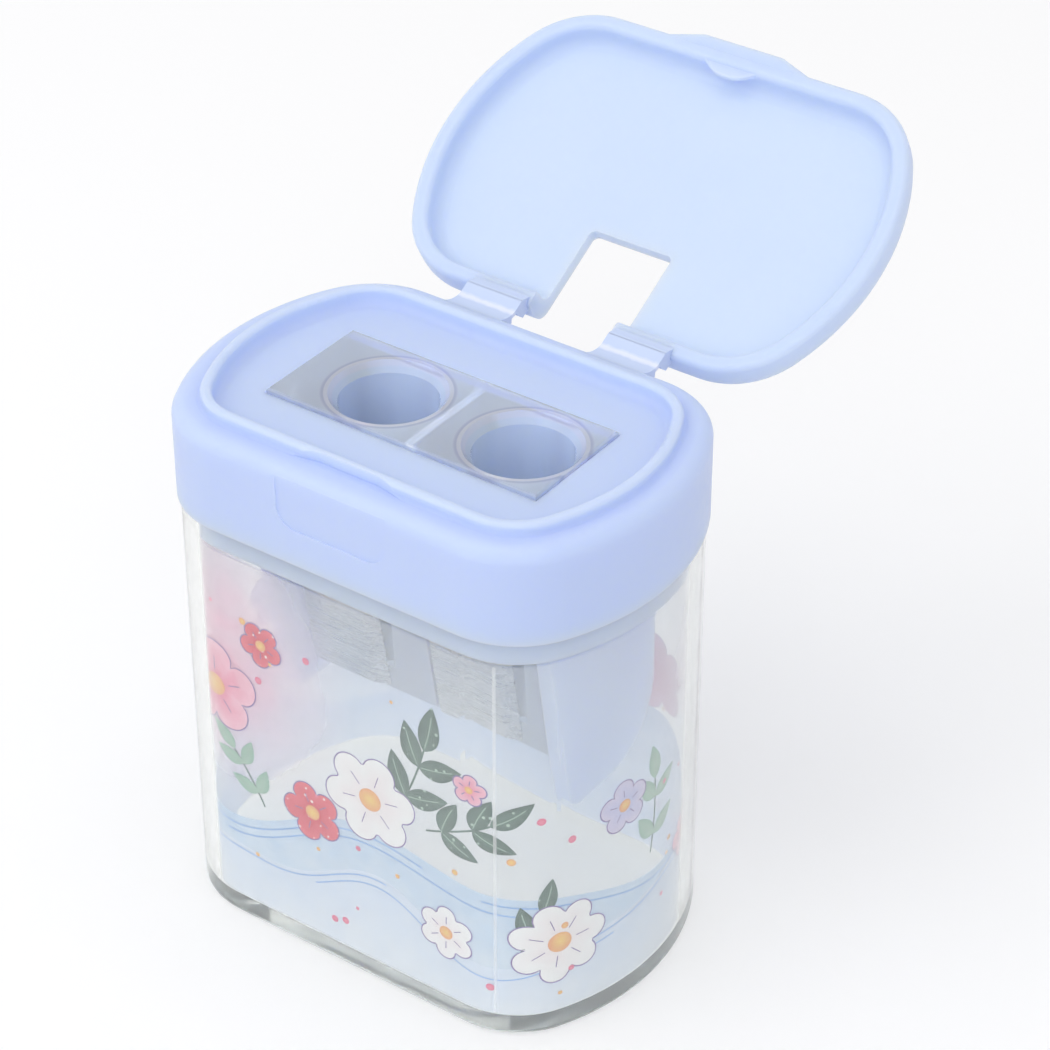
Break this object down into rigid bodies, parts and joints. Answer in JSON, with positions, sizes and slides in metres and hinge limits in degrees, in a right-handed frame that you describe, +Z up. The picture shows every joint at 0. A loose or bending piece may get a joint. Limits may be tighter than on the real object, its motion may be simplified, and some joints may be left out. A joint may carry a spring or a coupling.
{
  "type": "pencil sharpener",
  "caption": "Desk pencil sharpener: a clear shavings bin with a pale blue plug-in top, a clear block with pencil holes and steel blades, and a flip-open lid on a living hinge.",
  "frame": {"origin": "centre of the bin's bottom face, on the surface it stands on", "axes": "+X along the long side to the right, -Y towards the front, +Z up along the pencil holes"},
  "size_m": [0.046, 0.0619, 0.0666],
  "materials": {
    "clear_bin": "clear moulded polystyrene, polished",
    "printed_film": "thin clear film, printed",
    "blue_plastic": "pale blue moulded polypropylene, satin",
    "hinge_web": "pale blue polypropylene, stress-whitened by bending",
    "clear_block": "clear moulded polystyrene, polished",
    "blade_steel": "ground and hardened strip steel",
    "screw_steel": "plated steel"
  },
  "bodies": {
    "bin": {"bin": "clear_bin", "print_film": "printed_film"},
    "top": {"collar": "blue_plastic", "sharpener_body": "clear_block", "blade_left": "blade_steel", "blade_right": "blade_steel", "blade_screw_left": "screw_steel", "blade_screw_right": "screw_steel", "living_hinge_left": "hinge_web", "living_hinge_right": "hinge_web"},
    "lid": {"lid": "blue_plastic"}
  },
  "joints": [
    {"name": "cap_pull", "type": "slide", "parent": "bin", "child": "top", "axis": [0, 0, 1], "range_m": [0, 0.03]},
    {"name": "lid_hinge", "type": "hinge", "parent": "top", "child": "lid", "pos_m": [0, 0.01685, 0.0511], "axis": [1, 0, 0], "range_deg": [-30, 150.2], "deforming": ["living_hinge_left", "living_hinge_right"]}
  ]
}
